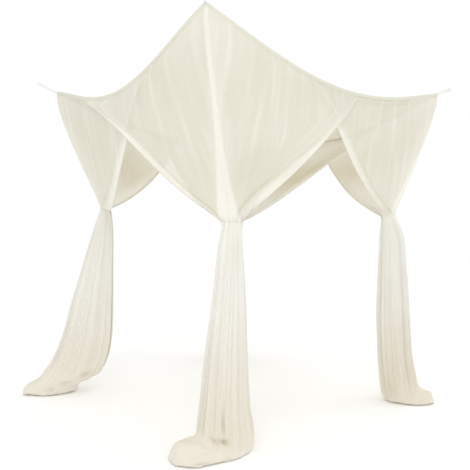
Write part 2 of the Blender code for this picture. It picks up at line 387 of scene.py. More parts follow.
COLUMNS = 191  # on each side of the corner strand, which they share
TOP_ROWS = 3
FAN_ROWS = 92
POST_ROWS = 118
CURL_COLUMNS = 6

# Rows of a fan, from 0 at the top edge to 1 at the neck, evenly and as they lie. Rows of
# a post and then all rows, in rows of the section tables, with the fan's far above.
EVEN_T = np.linspace(0, 1, FAN_ROWS + 1)
FAN_T = smooth(EVEN_T) * 0.35 + EVEN_T * 0.65
LEVEL = np.linspace(0, LAST_SECTION, POST_ROWS + 1)[1:]
ALL_LEVELS = np.concatenate([np.full(TOP_ROWS + len(FAN_T), -9.0), LEVEL])[:, None]

# The columns of a half from its strand to its hem, and of both halves.
SPREAD = np.linspace(0, 1, COLUMNS)
ROUND = np.concatenate([-SPREAD[::-1], SPREAD[1:]])

# How many folds a curtain has, how deep and how uneven they are, from broad ones to
# fine pleats.
FOLDS = ((8, 0.006, 0.35), (23, 0.004, 0.4), (84, 0.006, 0.45))


class Side(NamedTuple):
    """One half of a curtain: the neighbour it hangs towards and its hem."""

    corner: Corner
    neighbour: Corner
    hem: Hem
    sign: int

    def reached(self, points):
        """How far from the corner towards its neighbour each point lies."""
        return (points - self.corner.point) @ along(self.corner, self.neighbour)


def sides_of(corner):
    steps = zip((-1, 1), HEMS[corner.name])
    return [Side(corner, next_corner(corner, step), hem, step) for step, hem in steps]


def sections_at(corner, level):
    """The columns of a post's table at these levels, in table rows."""
    return table_curve(np.array(SECTIONS[corner.name]) / 1000, level).T[..., None]


def section_points(corner, level, u):
    """Points of the post at these levels and places round it."""
    toe, toe_z, heel, heel_z, half_depth, _ = sections_at(corner, level)
    tip = np.clip((level[:, None] - (LAST_SECTION - TOE_TIP)) / TOE_TIP, 0.0, 1.0)
    open_share = TIP_OPEN + (1 - TIP_OPEN) * np.sqrt(1 - tip**2)
    toe_z = heel_z + (toe_z - heel_z) * open_share
    half_depth = half_depth * (0.55 + 0.45 * open_share)
    closed = smooth(level, *NECK_ROWS)[:, None]
    wrap = NECK_WRAP_DEGREES + (WRAP_DEGREES - NECK_WRAP_DEGREES) * closed
    angle = np.radians(corner.facing - u * wrap - corner.toe_facing)
    toe_share = (1 + np.cos(angle)) / 2
    points = turned(corner.toe_facing) * (heel + (toe - heel) * toe_share)[..., None]
    points = points + turned(corner.toe_facing + 90) * (half_depth * np.sin(angle))[..., None]
    points = points + (corner.neck_x, corner.neck_y, 0.0)
    points[..., 2] = heel_z + (toe_z - heel_z) * toe_share**FOOT_ARCH
    return points


def fan_points(side, spread, t, hem_line=None):
    """Points of one half of the fan: spread is 0 on the corner's strand and 1 on
    the hem, and t runs from the top edge to the neck. No strand sinks below a hem line
    that is given."""
    corner, hem = side.corner, side.hem
    spread, t = np.broadcast_arrays(spread, t)
    way = along(corner, side.neighbour)
    hang = spread * hem.reach
    top = edge_points(corner, side.neighbour, hang)
    start = top - UP * (BINDING_TALL + CLEAR)
    stand = PANEL_OFFSET * hem.layer * np.minimum(1.0, spread * 4) * smooth(t, 0.0, 0.08)
    stand = stand + LAYER_STEP * hem.layer
    start = start + inward(corner, side.neighbour) * stand[..., None]
    flat_u = (spread * side.sign).reshape(1, -1)
    end = section_points(corner, np.zeros(1), flat_u).reshape(*spread.shape, 3)
    fall = corner.strand_down * (start[..., 2] - end[..., 2])
    if hem_line is not None:
        room = np.maximum(0.0, top[..., 2] - np.interp(hang, *hem_line))
        fall = np.where(spread < 1.0, np.minimum(fall, room), fall)
    hem_share = (spread**3)[..., None]
    loose = (1 - spread)[..., None]
    bulge = turned(corner.facing) * CORNER_BULGE * loose**4
    first = start + bulge - UP * fall[..., None] * (1 - hem_share)
    first = first - (way * hem.top_back + UP * hem.top_down) * hem_share
    away = (start - end) * (1.0, 1.0, 0.0)
    away = away - way * (away @ way)[..., None]
    second = end + bulge + UP * corner.strand_up * loose
    second = second + (way * hem.neck_out + away + UP * hem.neck_up) * (1 - loose)
    return bezier(start, first, second, end, t[..., None])


def hem_line_of(side):
    """How far along its side a hem is and how high, from the neck up."""
    line = fan_points(side, np.ones(24), np.linspace(1.0, 0.0, 24))
    return side.reached(line), line[:, 2]


def strand_places(side, hem_line):
    """Where each strand stands on the fan at each level: it hangs plumb from the
    top edge, then lies in with the others in the band along the hem, while those
    at the corner draw together into one strand."""
    probe = np.linspace(0.0, 1.0, 90)
    places = side.reached(fan_points(side, probe, FAN_T[:, None], hem_line))
    hang = SPREAD * side.hem.reach
    found = []
    for row in places:
        row = np.maximum.accumulate(row + np.arange(len(row)) * 1e-6)
        inner, outer = row[0], row[-1]
        room = outer - inner
        laps = inner + min(CORNER_LAP, 0.20 * room), outer - min(HEM_LAP, 0.42 * room)
        plumb = np.interp(hang, [0.0, *laps, side.hem.reach], [inner, *laps, outer])
        found.append(np.interp(plumb, row, probe))
    found = blurred(blurred(np.array(found), 26, 1), 10, 0)
    found[:, 0], found[:, -1] = 0.0, 1.0
    even = (0.75 * smooth(FAN_T, 0.80, 1.0))[:, None]
    start = smooth(FAN_T, 0.0, 0.05)[:, None]
    mixed = found * (1 - even) + SPREAD * even
    return SPREAD * (1 - start) + mixed * start


def wander(count, seed, periods, lively):
    """A wave for each column whose folds differ in width and depth."""
    rng = np.random.default_rng(seed)
    widths = rng.uniform(1 - lively, 1 + lively, periods)
    ends = np.concatenate([[0.0], np.cumsum(widths)]) / widths.sum() * (count - 1)
    places = np.arange(count)
    phase = np.interp(places, ends, np.arange(periods + 1) * 2 * np.pi)
    depth = np.interp(places, (ends[:-1] + ends[1:]) / 2, rng.uniform(0.45, 1.25, periods))
    return phase, depth


def crumple(points, seed, span):
    """Creases that run through the cloth where it lies on the floor."""
    waves = 9
    rng = np.random.default_rng(seed)
    total = np.zeros(points.shape[:2])
    for _ in range(waves):
        way = rng.normal(size=3)
        way /= norm(way)
        size = span * rng.uniform(0.6, 1.7)
        wave = points @ way / size * 2 * np.pi + rng.uniform(0, 6.28)
        total += (1 - 2 * np.abs(np.sin(wave))) * size / span
    return total / waves


def bands_of(fan, corner):
    """How closely the net lies at each point of the fan: in the strand that hangs
    from the corner, in the bands along both hems, and where all of it meets. And
    how much shade is painted into the creases beside each band."""
    drape = DRAPES[corner.name]
    middle = fan.shape[1] // 2
    t = EVEN_T[:, None]
    run = run_along(fan, 1)
    lean = drape.lean * smooth(t, 0.35, 0.70) * (1 - smooth(t, 0.88, 1.0))
    from_strand = np.abs(run - run[:, [middle]] - lean)
    from_hem = np.minimum(run, run[:, [-1]] - run)
    strand_half = STRAND_HALF + STRAND_GROWS * smooth(t, 0.30, 1.0)
    strand = 1 - smooth(from_strand - strand_half, -BAND_SOFT, BAND_SOFT)
    sizes = [(hem.band, hem.bunched) for hem in HEMS[corner.name]]
    band, bunched = np.repeat(sizes, [middle, fan.shape[1] - middle], axis=0).T[:, None, :]
    band = band * (0.45 + 0.55 * smooth(t, 0.1, 0.9))
    hem = bunched * (0.3 + 0.7 * smooth(t, 0.05, 0.25)) * (1 - smooth(from_hem / band, 0.3, 1.25))
    away = norm(fan - corner.point, axis=2)
    near_corner = 0.32 * np.exp(-((away / 0.34) ** 2)) + 0.04 * (1 - smooth(t, 0.15, 0.60))
    beside = BESIDE_CLOSE * np.exp(-((from_strand / drape.beside) ** 2)) * smooth(t, 0.05, 0.40)
    at_neck = POST_CLOSE * smooth(t, 0.93, 1.0)
    close = STRAND_CLOSE * strand
    for other in (hem, near_corner, at_neck, beside):
        close = np.maximum(close, other)
    # Painted shade in the creases beside the hem bands.
    valley_shade = np.exp(-(((from_hem - band - 0.012) / 0.009) ** 2)) * smooth(t, 0.45, 0.75)
    return close, valley_shade * (1 - strand)


def doubled_of(fan, side):
    """How much paler this half is painted where the neighbour's curtain hangs over it,
    most of all along its hem, as painted light of the two layers. Below 0 where it looks thinner."""
    other = next(s for s in sides_of(side.neighbour) if s.neighbour is side.corner)
    places, heights = hem_line_of(other)
    wall = norm((side.neighbour.point - side.corner.point)[:2])
    past = side.reached(fan) - (wall - np.interp(fan[..., 2], heights, places))
    low = smooth(fan[..., 2] - heights[0], 0.0, 0.1)
    if other.hem.shows < 0:
        return other.hem.shows * smooth(past, 0.03, 0.08) * low
    over = smooth(past, 0.0, 0.012) * low
    along_hem = 1 - smooth(past, 0.015, 0.04)
    return over * (other.hem.shows + (HEM_SHOWS - other.hem.shows) * along_hem)


def folds_of(corner, grid, flat_x):
    """How far the cloth stands out of its smooth surface at each point: broad
    folds, fine pleats no deeper than the room between them, creases where it lies
    on the floor, and dents."""
    rows, columns = grid.shape[:2]
    flat_step = np.gradient(flat_x)
    down = unit(np.gradient(grid, axis=0))
    apart = norm(np.cross(np.gradient(grid, axis=1), down), axis=2)
    slack = np.minimum(1.0, 0.22 + np.sqrt(np.maximum(0.0, flat_step**2 - apart**2)) / flat_step)
    down_share = np.linspace(0, 1, rows)[:, None]
    rng = np.random.default_rng(corner.seed)
    fold = np.zeros_like(apart)
    for periods, deepest, lively in FOLDS:
        phase, depth = wander(columns, corner.seed + periods, periods, lively)
        drift = 0.9 * np.sin(down_share * rng.uniform(5, 9) + rng.uniform(0, 6) + ROUND * 4)
        wanted = deepest * depth * slack * DRAPES[corner.name].pleats
        narrow = 0.52 * apart * columns / periods
        fold += np.sin(phase + drift) * wanted * narrow / np.hypot(wanted, narrow)
    fold *= 1 - 0.6 * np.abs(ROUND) ** 3
    in_fan = smooth(FAN_T, 0.0, 0.12) * (0.22 + 0.78 * smooth(FAN_T, 0.90, 1.0))
    deep = sections_at(corner, LEVEL)[-1, :, 0]
    in_post = (0.6 + 0.6 * deep / 0.016) * (1 - 0.7 * smooth(LEVEL, *FLATTER_ROWS))
    fold *= np.concatenate([np.zeros(TOP_ROWS), in_fan, in_post])[:, None]
    fold *= np.clip(grid[..., 2] / FLOOR_EASE, 0.0, 1.0)
    fold += 0.010 * crumple(grid, corner.seed, 0.12) * smooth(ALL_LEVELS, *LYING_ROWS)
    for dent in DRAPES[corner.name].dents:
        fold -= dent.deep * pressed(dent)
    return fold


def pressed(dent):
    """How much of a dent is at each point: 1 in its middle."""
    off = ((ALL_LEVELS - dent.level) / dent.half_level) ** 2
    return np.exp(-(off + ((ROUND - dent.round) / dent.half_round) ** 2))


def carried(fan_value, post_value=0.0):
    """A value of the fan carried up behind the binding and on down the post."""
    below = np.full((POST_ROWS, fan_value.shape[1]), post_value)
    return np.concatenate([fan_value[:TOP_ROWS], fan_value, below])


def smooth_curtain(corner):
    """The surface of a curtain before its folds, the fan in it, and how much paler
    each point of the fan is painted under a neighbour's net, as painted light."""
    parts = []
    for side in sides_of(corner):
        hem_line = hem_line_of(side)
        spread = strand_places(side, hem_line)
        half = fan_points(side, spread, FAN_T[:, None], hem_line)
        found = (half, spread * side.sign, doubled_of(half, side))
        parts.append([part[:, ::side.sign] for part in found])
    # The two halves share the strand at their corner.
    fan, strands, doubled = (np.concatenate([a, b[:, 1:]], axis=1) for a, b in zip(*parts))
    relax = smooth(LEVEL, *RELAX_ROWS)[:, None]
    post = section_points(corner, LEVEL, strands[-1] * (1 - relax) + ROUND * relax)
    top = np.repeat(fan[:1], TOP_ROWS, axis=0)
    top[..., 2] += np.linspace(BINDING_TALL - 0.002, 0.004, TOP_ROWS)[:, None]
    grid = np.concatenate([top, fan, post])
    from_neck = np.arange(len(grid)) - (TOP_ROWS + FAN_ROWS)
    eased = np.exp(-((from_neck / 6) ** 2))[:, None, None]
    return grid * (1 - eased) + blurred(grid, 8, 0) * eased, fan, doubled


def fields_of(corner, grid, fan, doubled):
    """What the net of a curtain is like at each point, with the shade painted in its creases and
    dents, near the floor and on its far halves, and the light painted where a neighbour's net hangs
    over.
    """
    drape = DRAPES[corner.name]
    close, crease = bands_of(fan, corner)
    close, crease, doubled = carried(close, POST_CLOSE), carried(crease), carried(doubled)
    # Painted shade in the dents.
    for dent in drape.dents:
        crease = np.maximum(crease, dent.painted_shade * pressed(dent))
    # Painted shade, deepest near the floor and fading at the end of a foot.
    warm = drape.floor_shade * (1 - smooth(grid[..., 2], 0.10, 0.90))
    warm = warm * (1 - drape.pale_toe * smooth(ALL_LEVELS, *PALE_TOE_ROWS))
    # Painted shade on the far halves, which hang inside the canopy out of the light; it fades where
    # the net lies close, and low down part of it turns into thinner net.
    tint = np.where(ROUND < 0, drape.inside_shade_before, drape.inside_shade_after)
    tint = tint * smooth(np.abs(ROUND), 0.02, 0.15) * (1 - close)
    low = smooth(FAN_T, 0.3, 0.7)
    over_fan = np.stack([smooth(FAN_T, 0.05, 0.5) * (1 - 0.45 * low), THIN_LOW * low])
    over_fan = over_fan * (1 - smooth(FAN_T, 0.92, 1.0))
    over_fan = np.pad(over_fan, ((0, 0), (TOP_ROWS, POST_ROWS)))[..., None]
    # Painted light where a neighbour's net hangs over; it takes back the painted shade there.
    paler = np.maximum(doubled, 0.0)
    inner = tint * over_fan[0] * (1 - 1.6 * paler)
    thin = tint * over_fan[1] + np.maximum(-doubled, 0.0)
    return {"gather": close, "crease": crease, "warm": warm, "inner": inner, "doubled": paler,
            "thin": thin}


def curtain_grid(corner):
    """The finished surface of a curtain, its place on the flat cloth, and what
    its net is like at each point."""
    grid, fan, doubled = smooth_curtain(corner)
    fields = fields_of(corner, grid, fan, doubled)
    reach = np.where(ROUND < 0, *(hem.reach for hem in HEMS[corner.name]))
    fields["edge"] = (1 - np.abs(ROUND)) * reach
    flat_x = ROUND * reach
    grid = grid + normals_of(grid) * folds_of(corner, grid, flat_x)[..., None]
    grid[..., 2] = np.maximum(grid[..., 2], SHEET / 2)
    return grid, cloth_map(flat_x, run_along(grid)[:, COLUMNS - 1]), fields


def curled(grid, uv, fields):
    """The grid with its two side edges rolled into a narrow lip."""
    angle = math.radians(LIP_DEGREES) * np.arange(1, CURL_COLUMNS + 1)[:, None] / CURL_COLUMNS
    ends = []
    for edge, inner in ((0, 2), (-1, -3)):
        normal = normals_of(grid)[:, [edge]]
        out = grid[:, [edge]] - grid[:, [inner]]
        out = unit(out - normal * (out * normal).sum(-1, keepdims=True))
        sideways = grid[:, [edge]] + out * LIP_RADIUS * np.sin(angle)
        ends.append(sideways - normal * LIP_RADIUS * (1 - np.cos(angle)))
    grown = np.concatenate([ends[0][:, ::-1], grid, ends[1]], axis=1)
    grown[..., 2] = np.maximum(grown[..., 2], SHEET / 2)
    columns = np.arange(-CURL_COLUMNS, len(ROUND) + CURL_COLUMNS).clip(0, len(ROUND) - 1)
    fields = {key: value[..., columns] for key, value in fields.items()}
    fields["gather"][:, :CURL_COLUMNS] *= LIP_CLOSE
    fields["gather"][:, -CURL_COLUMNS:] *= LIP_CLOSE
    return grown, uv[:, columns], fields


# ---- meshes


def stood(name, data):
    """A new object that stands in the scene."""
    made = bpy.data.objects.new(name, data)
    bpy.context.scene.collection.objects.link(made)
    return made


def cloth_map(across, down):
    """The place on the flat cloth of each column and row of a grid."""
    return np.stack(np.broadcast_arrays(across, np.reshape(down, (-1, 1))), axis=-1)


def grid_piece(name, grid, uv, fields, finish):
    """A sheet from a grid of points in the room, its map of the flat cloth, and what
    its finish reads at each point or column."""
    number = np.arange(grid[..., 0].size).reshape(grid.shape[:2])
    ring = (number[:-1, :-1], number[:-1, 1:], number[1:, 1:], number[1:, :-1])
    faces = np.stack(ring, axis=-1).reshape(-1, 4)
    mesh = bpy.data.meshes.new(name)
    mesh.from_pydata((grid + ROOM).reshape(-1, 3).tolist(), [], faces.tolist())
    layer = mesh.uv_layers.new(name="cloth")
    layer.data.foreach_set("uv", uv.reshape(-1, 2)[faces].astype(np.float32).ravel())
    for key, value in fields.items():
        made = mesh.attributes.new(key, "FLOAT", "POINT")
        value = np.broadcast_to(value, number.shape).astype(np.float32)
        made.data.foreach_set("value", value.ravel())
    mesh.materials.append(finish)
    mesh.shade_smooth()
    return stood(name, mesh)


# ---- finishes

STITCH_LONG = 0.0045
STITCH_WIDE = 0.0024
HEM_COVER = 0.1  # how much closer the doubled cloth of a hem is
GATHERED = 0.95  # how much the most closely gathered net hides, and the roof's
ROOF_GATHERED = 0.8


def maths(operation, swapped=False):
    """A method that takes a value, and others after or before it, to a Math node."""

    def method(self, *others):
        terms = (*others, self) if swapped else (self, *others)
        settings = {"operation": operation}
        return self.finish.node("ShaderNodeMath", settings, dict(enumerate(terms)))

    return method


class Value:
    """A socket that takes part in sums, each of which adds its own node."""

    def __init__(self, finish, socket):
        self.finish = finish
        self.socket = socket

    __add__ = __radd__ = maths("ADD")
    __mul__ = __rmul__ = maths("MULTIPLY")
    __sub__ = maths("SUBTRACT")
    __rsub__ = maths("SUBTRACT", swapped=True)
    __pow__ = maths("POWER")
    __lt__ = maths("LESS_THAN")
    __gt__ = maths("GREATER_THAN")
    __abs__ = maths("ABSOLUTE")
    highest = maths("MAXIMUM")
    lowest = maths("MINIMUM")
    cosine = maths("COSINE")

    def held(self):
        """The value held between 0 and 1."""
        return self.highest(0.0).lowest(1.0)

    def wave(self, length):
        """1 at every length along the value and -1 midway between."""
        return (self * (2 * math.pi / length)).cosine()


class Finish:
    """A material under the needle: node() adds one node of any kind."""

    def __init__(self, name):
        self.material = bpy.data.materials.new(name)
        self.material.use_nodes = True
        self.nodes = self.material.node_tree.nodes
        self.link = self.material.node_tree.links.new
        self.nodes.clear()
        self.output = self.nodes.new("ShaderNodeOutputMaterial")

    def node(self, kind, settings=None, sockets=None, out=0):
        made = self.nodes.new(kind)
        for key, value in (settings or {}).items():
            setattr(made, key, value)
        for key, value in (sockets or {}).items():
            if isinstance(value, Value):
                self.link(value.socket, made.inputs[key])
            else:
                made.inputs[key].default_value = value
        return Value(self, made.outputs[out])

    def mixed(self, share, first, second):
        """Two colours mixed by a share."""
        terms = {0: share, 6: first, 7: second}
        return self.node("ShaderNodeMix", {"data_type": "RGBA"}, terms, out=2)

    def noise(self, coordinates, scale, detail=2.0):
        sockets = {"Vector": coordinates, "Scale": scale, "Detail": detail}
        return self.node("ShaderNodeTexNoise", {}, sockets)

    def streaked(self, x, y, wide, long, detail=2.0):
        """Noise drawn out into streaks this many times a metre across and down."""
        stretched = self.node("ShaderNodeCombineXYZ", {}, {0: x * wide, 1: y * long})
        return self.noise(stretched, 1.0, detail)

    def flat_cloth(self):
        """The map of the flat cloth, and its ways across and down on their own."""
        flat = self.node("ShaderNodeUVMap", {"uv_map": "cloth"})
        across = self.node("ShaderNodeSeparateXYZ", {}, {0: flat})
        return flat, across, Value(self, across.socket.node.outputs[1])

    def attribute(self, name):
        return self.node("ShaderNodeAttribute", {"attribute_name": name}, {}, out=2)

    def show(self, shader):
        self.link(shader.socket, self.output.inputs["Surface"])
        return self.material


def colour(values):
    return (*values, 1.0)


def shifted(base, share):
    """A colour made lighter or deeper."""
    return colour([min(1.0, part * share) for part in base])


def net_finish(name, looks, cover, gather_cover):
    """Fine knitted net: threads that run three ways, see-through between them,
    closer and paler where the cloth is gathered or hemmed. Shade is painted into its deeper
    streaks, creases and dents, near the floor and on the far halves and the roof, and it is
    painted paler where a neighbour's net hangs over."""
    finish = Finish(name)
    flat, x, y = finish.flat_cloth()
    turn = 2 * math.pi / looks.mesh_pitch
    threads = None
    for angle in (0.0, math.pi / 3, 2 * math.pi / 3):
        line = x * (turn * math.cos(angle)) + y * (turn * math.sin(angle))
        thread = (line.cosine() * 0.5 + 0.5) ** 2.0
        threads = thread if threads is None else threads.highest(thread)
    # inner is the painted shade of the canopy's inside.
    close, edge, inner = (finish.attribute(name) for name in ("gather", "edge", "inner"))
    stitch_line = abs(edge - looks.hem_width * 0.86) < STITCH_WIDE / 2
    stitch = stitch_line * (y.wave(STITCH_LONG) > -0.3)
    streak = finish.streaked(x, y, 17.0, 1.1, 3.0)
    pale = ((streak - 0.53) * 5.0).held()
    # Deeper streaks are painted shade of the folds; paler ones close the net where folds lie over
    # each other.
    deep = ((0.47 - streak) * 5.0).held()
    fine = finish.streaked(x, y, 70.0, 1.5)
    dense = close * gather_cover + (edge < looks.hem_width) * HEM_COVER
    # Painted paler and closer where a neighbour's net hangs over, as light of the two layers.
    dense = dense.highest(finish.attribute("doubled"))
    dense = (dense + (1.0 - dense) * pale * looks.streaks + (fine - 0.5) * 0.3).held()
    alpha = (threads - 0.45) * 0.12 + cover
    # The painted inside shade also closes the net.
    alpha = alpha + (1.0 - alpha) * inner * 0.85
    alpha = (alpha + (1.0 - alpha) * dense) * (1.0 - finish.attribute("thin"))
    alpha = alpha.highest(stitch).lowest(1.0)
    # The mottle is uneven dye; the deeper streaks add painted shade where the net is single.
    mottled = (finish.noise(flat, 3.0) - 0.4).highest(0.0) * 0.5
    streak_shade_and_mottle = (deep * (1.0 - close) * looks.streaks + mottled).lowest(1.0)
    tint = finish.mixed(dense, colour(looks.net_colour), colour(looks.gathered_colour))
    # Painted shade in the deeper streaks, on the far halves inside, near the floor and in creases;
    # the mottle is uneven dye and the stitches are thread.
    for share, over in (
        (streak_shade_and_mottle, looks.streak_shade_and_mottle_colour),
        (finish.attribute("warm") * 0.8, looks.floor_shade),
        (inner, looks.inside_shade_colour),
        (finish.attribute("crease") * 0.6, looks.crease_shade_colour),
        (stitch * 0.5, looks.thread_colour),
    ):
        tint = finish.mixed(share, tint, colour(over))
    bump = finish.node("ShaderNodeBump", {}, {
        "Strength": 0.25, "Distance": 0.0004, "Height": threads + stitch,
    })
    cloth = finish.node("ShaderNodeBsdfPrincipled", {}, {
        "Base Color": tint, "Roughness": 0.85, "Sheen Weight": 0.15,
        "Specular IOR Level": 0.2, "Normal": bump,
    })
    through = finish.node("ShaderNodeBsdfTranslucent", {}, {"Color": colour(looks.through_colour)})
    # Less light comes through where the inside shade is painted.
    glow = (1.0 - dense * 0.75) * (1.0 - inner * 0.8) * looks.glow
    lit = finish.node("ShaderNodeMixShader", {}, {0: glow, 1: cloth, 2: through})
    clear = finish.node("ShaderNodeBsdfTransparent")
    return finish.show(finish.node("ShaderNodeMixShader", {}, {0: alpha, 1: clear, 2: lit}))


def tape_finish(name, base, thread, pitch):
    """Woven tape: ribs across it, a line of stitches near each edge."""
    finish = Finish(name)
    flat, across, down = finish.flat_cloth()
    ribs = down.wave(pitch) * 0.5 + 0.5
    weft = across.wave(pitch * 0.8) * 0.5 + 0.5
    edge = finish.attribute("edge")
    stitches = (abs(edge - 0.003) < 0.0007) * (down.wave(0.005) > -0.2)
    wear = finish.noise(flat, 40.0, 4.0)
    tint = finish.mixed(wear * 0.4, colour(base), shifted(base, 0.92))
    tint = finish.mixed(ribs * weft * 0.2, tint, shifted(base, 1.06))
    tint = finish.mixed(stitches, tint, colour(thread))
    bump = finish.node("ShaderNodeBump", {}, {
        "Strength": 0.4, "Distance": 0.0005, "Height": ribs * weft + stitches,
    })
    return finish.show(finish.node("ShaderNodeBsdfPrincipled", {}, {
        "Base Color": tint, "Roughness": 0.8, "Sheen Weight": 0.1,
        "Specular IOR Level": 0.25, "Normal": bump,
    }))


def floor_finish(base):
    """A smooth painted floor with faint uneven patches."""
    finish = Finish("studio floor")
    place = finish.node("ShaderNodeTexCoord", {}, {}, out=3)
    speck = finish.noise(place, 6.0, 4.0)
    return finish.show(finish.node("ShaderNodeBsdfPrincipled", {}, {
        "Base Color": finish.mixed(speck * 0.3, colour(base), shifted(base, 0.985)),
        "Roughness": 0.9, "Specular IOR Level": 0.1,
        "Emission Color": colour(base), "Emission Strength": 0.05,
    }))


# ---- settings a user can change

COLOUR = {"subtype": "COLOR", "size": 3, "min": 0.0, "max": 1.0}
SHARE = {"subtype": "FACTOR", "min": 0.0, "max": 1.0}


class CanopyNet(bpy.types.PropertyGroup):
    """The net's colours and how see-through it is."""

    net_colour: FloatVectorProperty(
        name="Net", description="Colour of a single layer of net", default=(0.81, 0.82, 0.755),
        **COLOUR,
    )
    gathered_colour: FloatVectorProperty(
        name="Gathered", description="Colour where the net is gathered or hemmed",
        default=(0.93, 0.92, 0.865), **COLOUR,
    )
    # Painted shade in the deeper streaks, and the uneven dye of the mottle.
    streak_shade_and_mottle_colour: FloatVectorProperty(
        name="Mottle", description="Deeper cream of the uneven dye", default=(0.72, 0.69, 0.57),
        **COLOUR,
    )
    thread_colour: FloatVectorProperty(
        name="Thread", description="Sewing thread", default=(0.95, 0.94, 0.89), **COLOUR,
    )
    through_colour: FloatVectorProperty(
        name="Light through", description="Colour of the light that comes through the threads",
        default=(0.76, 0.68, 0.52), **COLOUR,
    )
    # Painted shade: the deeper cream of the cloth near the floor.
    floor_shade: FloatVectorProperty(
        name="Near the floor", description="Deeper cream of the cloth near the floor",
        default=(0.83, 0.765, 0.635), **COLOUR,
    )
    # Painted shade: the deeper cream of the halves that hang inside the canopy, and of the roof.
    inside_shade_colour: FloatVectorProperty(
        name="Far halves", description="Deeper cream of the halves that hang away from the front",
        default=(0.72, 0.655, 0.465), **COLOUR,
    )
    # Painted shade: the colour mixed in deep in creases and dents.
    crease_shade_colour: FloatVectorProperty(
        name="Creases", description="Colour deep in the sharpest creases",
        default=(0.58, 0.50, 0.36), **COLOUR,
    )
    # Paler streaks close the net; deeper ones are painted shade.
    streaks: FloatProperty(
        name="Streaks", description="How much paler and deeper streaks show in the hanging net",
        default=0.40, **SHARE,
    )
    mesh_pitch: FloatProperty(
        name="Mesh", description="Distance between the threads of the net", default=0.0018,
        unit="LENGTH", min=0.0005, max=0.01,
    )
    hem_width: FloatProperty(
        name="Hem", description="Width of the sewn hems", default=0.028, unit="LENGTH", min=0.005,
        max=0.1,
    )
    cover: FloatProperty(
        name="Cover", description="How much of what lies behind one layer it hides", default=0.78,
        **SHARE,
    )
    roof_cover: FloatProperty(
        name="Roof cover", description="How much of what lies behind it the roof net hides",
        default=0.88, **SHARE,
    )
    glow: FloatProperty(
        name="Glow", description="Share of light that comes through the threads", default=0.35,
        **SHARE,
    )


class CanopyTrim(bpy.types.PropertyGroup):
    """The bindings and the corner tapes."""

    binding_colour: FloatVectorProperty(
        name="Binding", description="Colour of the tape round the rim", default=(0.69, 0.685, 0.57),
        **COLOUR,
    )
    tape_colour: FloatVectorProperty(
        name="Corner tape", description="Colour of the hanging tapes", default=(0.82, 0.82, 0.79),
        **COLOUR,
    )
    cloth_thick: FloatProperty(
        name="Tape thickness", description="Thickness of the woven tapes", default=0.0009,
        unit="LENGTH", min=0.0003, max=0.003,
    )


class CanopyStage(bpy.types.PropertyGroup):
    """The studio: floor, light and camera."""

    floor_colour: FloatVectorProperty(
        name="Floor", description="Colour of the studio floor", default=(0.96, 0.96, 0.96),
        **COLOUR,
    )
    floor_radius: FloatProperty(
        name="Floor radius", description="How far the floor reaches", default=40.0, unit="LENGTH",
        min=5.0, max=200.0,
    )
    sky: FloatProperty(
        name="Sky", description="Brightness of the white surroundings", default=1.0, min=0.0,
        max=5.0,
    )
    key: FloatProperty(
        name="Key light", description="Power of the large soft light", default=35.0, unit="POWER",
        min=0.0, max=2000.0,
    )
    lens: FloatProperty(
        name="Lens", description="Focal length of the camera", default=37.743, unit="CAMERA",
        min=10.0, max=200.0,
    )


# ---- operators


class MakeCurtains(bpy.types.Operator):
    """Make the four gathered corner curtains"""

    bl_idname = "canopy.make_curtains"
    bl_label = "Curtains"

    def execute(self, context):
        looks = context.scene.canopy_net
        finish = net_finish("curtain net", looks, looks.cover, GATHERED)
        for corner in CORNERS:
            piece = grid_piece(f"net_{corner.name}", *curled(*curtain_grid(corner)), finish)
            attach(piece, "root")
            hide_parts(f"curtain_{corner.name}")
        return {"FINISHED"}


class MakeRoof(bpy.types.Operator):
    """Make the sagging roof net"""

    bl_idname = "canopy.make_roof"
    bl_label = "Roof"

    def execute(self, context):
        looks = context.scene.canopy_net
        front, left, back, right = CORNERS
        x, y = np.meshgrid(
            np.linspace(ROOF_INSET, SIDE_X - ROOF_INSET, 151)[::-1],
            np.linspace(ROOF_INSET, SIDE_Y - ROOF_INSET, 141),
        )
        u, v = (x / SIDE_X)[..., None], (y / SIDE_Y)[..., None]
        low, high = edge_points(front, right, x), edge_points(left, back, x)
        near, far = edge_points(front, left, y), edge_points(right, back, y)
        flat = (
            (1 - u) * (1 - v) * front.point + u * (1 - v) * right.point
            + (1 - u) * v * left.point + u * v * back.point
        )
        grid = (1 - v) * low + v * high + (1 - u) * near + u * far - flat
        edge = np.minimum.reduce([x, SIDE_X - x, y, SIDE_Y - y])
        ripple = np.zeros_like(edge)
        for corner in CORNERS:
            away = np.hypot(x - corner.x, y - corner.y)
            turn = np.arctan2(y - corner.y, x - corner.x)
            pull = np.exp(-away / 0.55) * smooth(away, 0.02, 0.2)
            ripple += 0.010 * pull * np.sin(turn * 26 + corner.seed + 3 * np.sin(turn * 5))
        rng = np.random.default_rng(5)
        for _ in range(7):
            way = rng.uniform(0, np.pi)
            size = rng.uniform(0.16, 0.5)
            wave = (x * np.cos(way) + y * np.sin(way)) / size * 2 * np.pi + rng.uniform(0, 6)
            ripple += 0.0022 * np.sin(wave) * size / 0.3
        grid[..., 2] += ripple * smooth(edge, 0.0, 0.12) - ROOF_DOWN
        # Painted shade over the whole roof, the same as on the far halves inside.
        inner = np.full_like(edge, 0.4)
        fields = {"gather": ROOF_CLOSE * np.exp(-edge / 0.02), "edge": edge, "inner": inner}
        finish = net_finish("roof net", looks, looks.roof_cover, ROOF_GATHERED)
        piece = grid_piece("net_roof", grid, np.stack([x, y], axis=-1), fields, finish)
        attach(piece, "root")
        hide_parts("roof_net")
        return {"FINISHED"}


